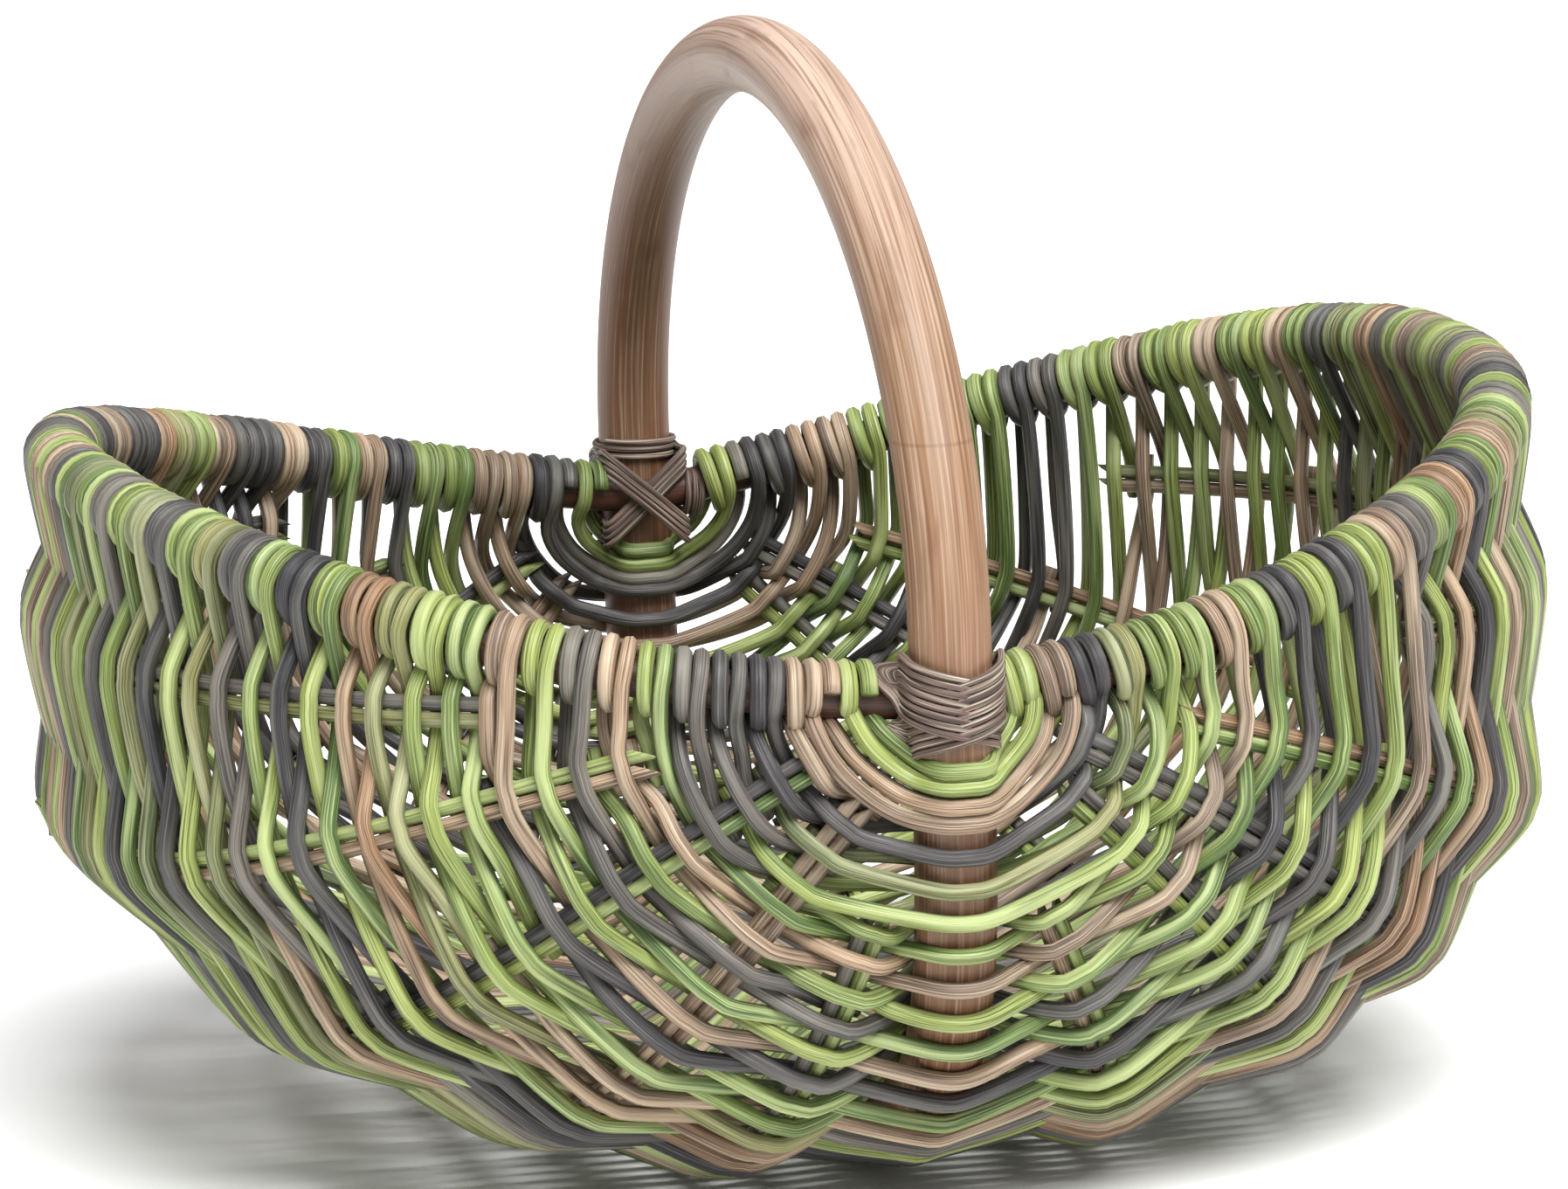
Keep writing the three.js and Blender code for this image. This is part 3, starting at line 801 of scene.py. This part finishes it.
def cane_finish(name):
    """Dyed cane: fine streaks of dye and pale fibre along it, and a slow drift of tone."""
    finish = Finish(f"{name}_cane")
    base = linear(name)
    pale = (*[blend(a, PALE_TONE * b, DYED_SHARE) for a, b in zip(linear("fibre")[:3], base)], 1)
    streaks = finish.noise(CANE_STREAKS, detail=3, roughness=GRAIN_ROUGHNESS)
    patches = finish.noise(CANE_PATCHES)
    drift = finish.noise(CANE_DRIFT)
    warm, cool = GREEN_TINTS if name in ("green", "olive") else OTHER_TINTS
    pale_share = DARK_DYE_STREAKS_SHARE if name in DARK_DYES else 1
    tone = finish.between(drift, *DRIFT_TO_WARM)
    tone = finish.mix(tone, tinted(base, COOL_TONE, cool), tinted(base, WARM_TONE, warm))
    tone = finish.mix(finish.between(streaks, *DARK_STREAKS), tone, shade(base, DARK_TONE))
    for noise, (low, high, start, end) in ((patches, PALE_PATCHES), (streaks, PALE_STREAKS)):
        tone = finish.mix(finish.between(noise, low, high, start, end * pale_share), tone, pale)
    return finish.finished(tone, streaks, CANE_ROUGHNESS, CANE_BUMP)


def handle_finish():
    """Peeled pole: long fine grain and darker blotches, paler towards the top as a painted highlight, and
    dark on the far leg and at the foot of the near one."""
    finish = Finish("handle_wood")
    pole, pale_grain_and_highlight, dark = [linear(name) for name in ("pole", "pole_pale_grain_and_highlight", "pole_dark")]
    grain = finish.noise(POLE_GRAIN, detail=3, roughness=GRAIN_ROUGHNESS)
    bands = finish.noise(POLE_BANDS)
    blotches = finish.noise(POLE_BLOTCHES, detail=3)
    place = finish.add('ShaderNodeSeparateXYZ', {0: finish.add('ShaderNodeTexCoord', {}).outputs["Object"]})
    depth = place.outputs["Y"]
    height = place.outputs["Z"]
    # Painted highlight: the pole turns paler towards the top of the handle
    tone = finish.mix(finish.between(height, *HIGHLIGHT_HEIGHTS), pole, pale_grain_and_highlight)
    far = finish.between(depth, *FAR_DEPTHS)
    tone = finish.mix(finish.between(far, 0, 1, 0, FAR_SHARE), tone, dark)
    tone = finish.mix(finish.between(height, *FOOT_HEIGHTS, 0, FOOT_SHARE), tone, dark)
    tone = finish.mix(finish.between(bands, *DARK_BANDS), tone, shade(dark, BAND_TONE))
    tone = finish.mix(finish.between(grain, *DARK_GRAIN), tone, dark)
    tone = finish.mix(finish.between(grain, *PALE_GRAIN), tone, pale_grain_and_highlight)
    tone = finish.mix(finish.between(blotches, *DARK_BLOTCHES), tone, dark)
    knot_line = {0: height, 1: KNOT_HEIGHT, 2: KNOT_HALF_WIDTH}
    knot = finish.add('ShaderNodeMath', knot_line, operation='COMPARE').outputs[0]
    near = finish.between(depth, 0, -KNOT_HEIGHT)
    seen = finish.add('ShaderNodeMath', {0: knot, 1: near}, operation='MULTIPLY').outputs[0]
    tone = finish.mix(finish.between(seen, 0, 1, 0, KNOT_SHARE), tone, dark)
    return finish.finished(tone, grain, POLE_ROUGHNESS, POLE_BUMP)


def rim_finish():
    """Dark red-brown pole with fine grain."""
    finish = Finish("rim_wood")
    grain = finish.noise(POLE_GRAIN, detail=3, roughness=GRAIN_ROUGHNESS)
    dark, light = [shade(linear("rim"), tone) for tone in RIM_TONES]
    tone = finish.mix(finish.between(grain, *RIM_GRAIN), dark, light)
    return finish.finished(tone, grain, None, POLE_BUMP)


def lashing_finish():
    """Split cane of the lashings: dull, with short streaks."""
    finish = Finish("split_cane")
    dark, light, streak = [shade(linear("lashing"), tone) for tone in SPLIT_CANE_TONES]
    streaks = finish.noise(SPLIT_STREAKS)
    drift = finish.noise(SPLIT_DRIFT, detail=1)
    tone = finish.mix(finish.between(drift, *SPLIT_TONES), dark, light)
    tone = finish.mix(finish.between(streaks, *SPLIT_DARK_STREAKS), tone, streak)
    tone = finish.mix(finish.between(streaks, *SPLIT_PALE_STREAKS), tone, linear("fibre"))
    return finish.finished(tone, streaks, SPLIT_ROUGHNESS, SPLIT_BUMP)


def finish_of(name):
    """A material by name, made when it is first needed."""
    if name in bpy.data.materials:
        return bpy.data.materials[name]
    makers = {"handle_wood": handle_finish, "rim_wood": rim_finish, "split_cane": lashing_finish}
    if name in makers:
        return makers[name]()
    return cane_finish(name.removesuffix("_cane"))


def rim_line(wall):
    """The rim's middle, round from the front ear: up the left side and back on the right."""
    left = wall.line(0)
    right = wall.line(math.pi)
    return np.concatenate([left[:-1], right[::-1][:-1]])


def pole_line(wall):
    """The pole's middle, round from the front ear: under the basket and back over the handle."""
    line = np.concatenate([wall.keel[:-1], wall.arch()])
    count = round(distances(line)[-1] / PATH_STEP)
    return even_points(line, count)[:-1]


class OBJECT_OT_basket_handle(bpy.types.Operator):
    """Build the handle and keel, one pole bent to a hoop, with a notch for the rim at each ear"""
    bl_idname = "object.basket_handle"
    bl_label = "Handle"

    def execute(self, context):
        wall = Wall(sizes())
        shape = (sizes().pole_radius, POLE_SIDES)
        whole = draw_canes("handle_pole", [(pole_line(wall), 1, 0)], shape, [finish_of("handle_wood")], True)
        handle = put("handle_pole", whole, ["handle_hoop"])
        seat_shape = (sizes().rim_radius + sizes().seat_gap, RIM_SIDES)
        seat_mesh = draw_canes("seat", [(rim_line(wall), 1, 0)], seat_shape, [], True)
        seat = bpy.data.objects.new("seat", seat_mesh)
        context.scene.collection.objects.link(seat)
        notch = handle.modifiers.new("notch", 'BOOLEAN')
        notch.operation = 'DIFFERENCE'
        notch.solver = 'EXACT'
        notch.object = seat
        cut = bpy.data.meshes.new_from_object(handle.evaluated_get(context.evaluated_depsgraph_get()))
        handle.modifiers.remove(notch)
        handle.data = cut
        bpy.data.objects.remove(seat)
        self.copy_places(whole, cut)
        return {'FINISHED'}

    def copy_places(self, whole, cut):
        """Gives each point of the cut pole the place along and round it of the nearest uncut point."""
        nearest = KDTree(len(whole.vertices))
        for point in whole.vertices:
            nearest.insert(point.co, point.index)
        nearest.balance()
        places = whole.attributes["cane"].data
        if "cane" in cut.attributes:
            cut.attributes.remove(cut.attributes["cane"])
        copied = cut.attributes.new("cane", 'FLOAT_VECTOR', 'POINT').data
        for point in cut.vertices:
            copied[point.index].vector = places[nearest.find(point.co)[1]].vector


class OBJECT_OT_basket_rim(bpy.types.Operator):
    """Build the rim, a thinner pole bent to a saddle-shaped hoop"""
    bl_idname = "object.basket_rim"
    bl_label = "Rim"

    def execute(self, context):
        wall = Wall(sizes())
        shape = (sizes().rim_radius, RIM_SIDES)
        mesh = draw_canes("rim_pole", [(rim_line(wall), 1, 0)], shape, [finish_of("rim_wood")], True)
        put("rim_pole", mesh, ["rim_hoop"])
        return {'FINISHED'}


class OBJECT_OT_basket_ribs(bpy.types.Operator):
    """Build the ribs, pairs of round canes with slanting cut ends"""
    bl_idname = "object.basket_ribs"
    bl_label = "Ribs"

    def execute(self, context):
        wall = Wall(sizes())
        shape = (sizes().cane_radius, RIB_SIDES, RIDGES)
        offset = sizes().cane_radius + sizes().seat_gap / 2
        for name, (degrees, start, dyes) in RIBS.items():
            share = start / wall.keel_length
            shares = np.linspace(share, 1 - share, 2 * LINE_STEPS)
            point, along, across, _ = wall.surface(np.full(len(shares), math.radians(degrees)), shares)
            upward = -1 if "left" in name else 1
            for part, way, dye_name in (("upper", upward, dyes[0]), ("lower", -upward, dyes[1])):
                node = f"rib_{name}_{part}"
                line = point + across * offset * way
                line = even_points(line, round(distances(line)[-1] / PATH_STEP))
                mesh = draw_canes(f"{node}_cane", [(line, 1, 0)], shape, [finish_of(f"{dye_name}_cane")])
                self.cut_tips(mesh, line, across[0], across[-1])
                close_ends(mesh)
                put(f"{node}_cane", mesh, [node])
        return {'FINISHED'}

    def cut_tips(self, mesh, line, first_across, last_across):
        """Cuts both ends of a cane slantwise."""
        shape = bmesh.new()
        shape.from_mesh(mesh)
        slope = RIB_TIP_LENGTH / (2 * sizes().cane_radius)
        for end, inner, across in ((0, 1, first_across), (-1, -2, last_across)):
            inward = unit(line[inner] - line[end])
            middle = line[end] + inward * RIB_TIP_LENGTH / 2
            normal = unit(inward + across * slope)
            reach = 2 * RIB_TIP_LENGTH
            near = [v for v in shape.verts if (v.co - Vector(line[end])).length < reach]
            faces = {face for v in near for face in v.link_faces}
            edges = {edge for face in faces for edge in face.edges}
            bmesh.ops.bisect_plane(
                shape, geom=[*near, *edges, *faces], dist=0, plane_co=middle, plane_no=normal,
                clear_inner=True)
        shape.to_mesh(mesh)
        shape.free()


class OBJECT_OT_basket_weave(bpy.types.Operator):
    """Build the weave, rows of cane that pass the ribs on alternate sides and turn round the rim"""
    bl_idname = "object.basket_weave"
    bl_label = "Weave"

    def execute(self, context):
        wall = Wall(sizes())
        shape = (sizes().strand / 2, CANE_SIDES, RIDGES)
        random = np.random.default_rng(THICKNESS_SEED)
        ground_reach = (sizes().strand / 2 + STRAND_SPREAD) * (1 + RIDGE_DEPTH_SHARE)
        for is_back in (False, True):
            bands = [[] for _ in range(STRANDS)]
            for points, dye_name, mean_row in Half(wall, is_back).canes():
                spread = STRAND_SPREAD / (sizes().strand / 2)
                size_share = 1 + random.uniform(-spread, spread)
                band = min(int(mean_row / ROWS_OF_STRAND), STRANDS - 1)
                line = on_ground(smooth_path(points, PATH_STEP), ground_reach)
                bands[band].append((line, size_share, dye_name))
            for i, canes in enumerate(bands):
                node = f"weaver_{'back' if is_back else 'front'}_{i + 1:02d}"
                dyes = sorted({cane[2] for cane in canes})
                indexed = [(points, share, dyes.index(name)) for points, share, name in canes]
                materials = [finish_of(f"{name}_cane") for name in dyes]
                mesh = draw_canes(f"{node}_canes", indexed, shape, materials)
                close_ends(mesh)
                put(f"{node}_canes", mesh, [node])
        return {'FINISHED'}


class OBJECT_OT_basket_lashings(bpy.types.Operator):
    """Build the lashings, one cane wound crosswise over each crossing of the pole and the rim"""
    bl_idname = "object.basket_lashings"
    bl_label = "Lashings"

    def execute(self, context):
        wall = Wall(sizes())
        size = sizes()
        self.side = size.pole_radius + PASS_GAP + size.lash_radius
        self.inset = wall.pole_half_span - size.rim_width / 2
        self.nearest = size.rim_radius + PASS_GAP + size.lash_radius
        shape = (size.lash_radius, LASH_SIDES)
        for name, outward, route in (("front", -1, self.fanned()), ("back", 1, self.crossed())):
            x, out, up = np.array(route).T
            points = np.stack([x, outward * (wall.pole_half_span + out), size.ear_height + up], axis=1)
            line = smooth_path(points, LASH_STEP)
            mesh = draw_canes(f"{name}_lashing_cane", [(line, 1, 0)], shape, [finish_of("split_cane")])
            close_ends(mesh)
            put(f"{name}_lashing_cane", mesh, [f"{name}_lashing"])
        return {'FINISHED'}

    def fanned(self):
        """Points of the front lashing, to the right, out from the pole's middle and up from the rim's."""
        points = []
        for band in range(BANDS):
            way = 1 if band % 2 else -1
            done = band / (BANDS - 1)
            middle = BAND_PITCH * (BANDS - 1) * (0.5 - done)
            points.extend(self.round_rim(-1, -way, done * FAN_LEFT, done, middle - way * BAND_SLOPE)[::-1])
            for i in range(LASH_BENDS + 1):
                angle = math.pi * i / LASH_BENDS
                across = 2 * i / LASH_BENDS - 1
                reach = self.side + BAND_LIFT * smooth((1 + BAND_STEEPNESS * way * across) / 2)
                up = middle + way * across * BAND_SLOPE
                points.append((-reach * math.cos(angle), reach * math.sin(angle), up))
            points.extend(self.round_rim(1, way, done * FAN_RIGHT, done, middle + way * BAND_SLOPE))
        return points

    def round_rim(self, side, way, fan, done, height):
        """Points of a band from the front of the pole over the rim, or under it, and behind the pole."""
        reach = self.nearest + FAN_RISE * done
        slant = reach * DIAGONAL_SHARE
        x = side * (self.side + fan)
        return [
            (side * (self.side + fan / 2), -self.inset + reach, blend(height, way * slant, 0.5)),
            (x, -self.inset + slant, way * slant),
            (x, -self.inset, way * reach),
            (side * self.side / 2, -self.side - FAN_RISE * done, way * reach),
        ]

    def crossed(self):
        """Points of the back lashing, in the same way."""
        size = sizes()
        side = self.side
        behind = self.inset + self.nearest
        nearest = self.nearest + size.lash_radius
        points = []
        for i in range(RIM_TURNS * LASH_BENDS):
            angle = 2 * math.pi * i / LASH_BENDS
            x = side + LASH_PITCH * (RIM_TURNS - i / LASH_BENDS)
            points.append((x, -self.inset + self.nearest * math.cos(angle), self.nearest * math.sin(angle)))
        for way, lift in ((1, 0), (-1, LASH_LIFT)):
            for turn in range(LASH_TURNS):
                below = -nearest - LASH_PITCH * turn
                above = nearest + LASH_PITCH * (LASH_TURNS - 1 - turn)
                start, end = (below, above) if way > 0 else (-below, -above)
                for i in range(LASH_BENDS + 1):
                    angle = math.pi * i / LASH_BENDS
                    reach = side + lift * math.sqrt(abs(math.sin(angle)))
                    up = blend(start, end, i / LASH_BENDS)
                    points.append((-reach * math.cos(angle), reach * math.sin(angle), up))
                inner = -behind + size.lash_radius - lift / 2
                points.extend([
                    (side, -behind / 2, end),
                    (side, inner, end),
                    (side / 2, -behind - lift, blend(end, start, 1 / 4)),
                    (-side / 2, -behind - lift, blend(end, start, 3 / 4)),
                    (-side, inner, start),
                    (-side, -behind / 2, start),
                ])
            if way > 0:
                last = points[-1][2]
                points.append((-side - LASH_LIFT, 0, last - LASH_PITCH / 2))
                points.append((-side - LASH_LIFT, size.lash_radius, 0))
        top = points[-1][2]
        for i in range(POLE_RINGS * 2 * LASH_BENDS):
            angle = math.pi * i / LASH_BENDS
            up = top + LASH_PITCH * (i / LASH_BENDS / 2 - POLE_RINGS / 2)
            points.append((-side * math.cos(angle), side * math.sin(angle), up))
        return points


class OBJECT_OT_basket_stage(bpy.types.Operator):
    """Set the floor, the light and the camera"""
    bl_idname = "object.basket_stage"
    bl_label = "Stage"

    def execute(self, context):
        self.floor(context)
        self.lights(context)
        self.camera(context)
        return {'FINISHED'}

    def floor(self, context):
        """A pale floor under the lowest strands."""
        shape = bmesh.new()
        bmesh.ops.create_grid(shape, x_segments=1, y_segments=1, size=FLOOR_REACH)
        bmesh.ops.translate(shape, vec=(0, 0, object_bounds()[0][2]), verts=shape.verts)
        mesh = bpy.data.meshes.new("floor")
        shape.to_mesh(mesh)
        shape.free()
        floor = bpy.data.objects.new("floor", mesh)
        context.scene.collection.objects.link(floor)
        material = bpy.data.materials.new("pale_floor")
        material.use_nodes = True
        shader = material.node_tree.nodes["Principled BSDF"]
        shader.inputs["Base Color"].default_value = linear("floor")
        shader.inputs["Roughness"].default_value = FLOOR_ROUGHNESS
        mesh.materials.append(material)
        floor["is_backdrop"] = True

    def lights(self, context):
        """White surroundings and a broad light from above the front."""
        world = bpy.data.worlds.new("studio")
        world.use_nodes = True
        background = world.node_tree.nodes["Background"]
        background.inputs["Color"].default_value = (1, 1, 1, 1)
        background.inputs["Strength"].default_value = SKY_STRENGTH
        context.scene.world = world
        context.scene.view_settings.view_transform = 'Standard'
        data = bpy.data.lights.new("key", 'SUN')
        data.angle = KEY_SPREAD
        data.energy = KEY_STRENGTH
        lamp = bpy.data.objects.new("key", data)
        lamp.rotation_euler = (math.pi / 2 - KEY_ELEVATION, 0, KEY_AZIMUTH)
        context.scene.collection.objects.link(lamp)

    def camera(self, context):
        """A camera at the photograph's view."""
        level = math.cos(CAMERA_ELEVATION)
        back = Vector((
            math.sin(CAMERA_AZIMUTH) * level, -math.cos(CAMERA_AZIMUTH) * level,
            math.sin(CAMERA_ELEVATION)))
        right = Vector((math.cos(CAMERA_AZIMUTH), math.sin(CAMERA_AZIMUTH), 0))
        turned = Matrix.Rotation(CAMERA_ROLL, 3, back) @ right
        up = back.cross(turned)
        data = bpy.data.cameras.new("camera")
        data.lens = CAMERA_LENS
        data.sensor_width = CAMERA_SENSOR
        data.shift_x = CAMERA_SHIFT_SHARE
        camera = bpy.data.objects.new("camera", data)
        place = Matrix((turned, up, back)).transposed().to_4x4()
        place.translation = CAMERA_TARGET + back * CAMERA_DISTANCE
        camera.matrix_world = place
        context.scene.collection.objects.link(camera)
        context.scene.camera = camera


STEPS = (
    OBJECT_OT_basket_handle, OBJECT_OT_basket_rim, OBJECT_OT_basket_ribs, OBJECT_OT_basket_weave,
    OBJECT_OT_basket_lashings, OBJECT_OT_basket_stage,
)


class VIEW3D_PT_basket(bpy.types.Panel):
    """The steps, sizes and colours of the basket"""
    bl_label = "Rattan basket"
    bl_space_type = 'VIEW_3D'
    bl_region_type = 'UI'
    bl_category = "Basket"

    def draw(self, context):
        for step in STEPS:
            self.layout.operator(step.bl_idname)
        for group in (context.scene.basket_sizes, context.scene.basket_colours):
            for name in group.__annotations__:
                self.layout.prop(group, name)


CLASSES = (BasketSizes, BasketColours, *STEPS, VIEW3D_PT_basket)


def register():
    for each in CLASSES:
        bpy.utils.register_class(each)
    bpy.types.Scene.basket_sizes = PointerProperty(type=BasketSizes)
    bpy.types.Scene.basket_colours = PointerProperty(type=BasketColours)


def unregister():
    del bpy.types.Scene.basket_colours
    del bpy.types.Scene.basket_sizes
    for each in reversed(CLASSES):
        bpy.utils.unregister_class(each)


def main():
    """Builds the whole basket and its stage."""
    register()
    for step in STEPS:
        group, name = step.bl_idname.split(".")
        getattr(getattr(bpy.ops, group), name)()


if __name__ == "__main__":
    main()
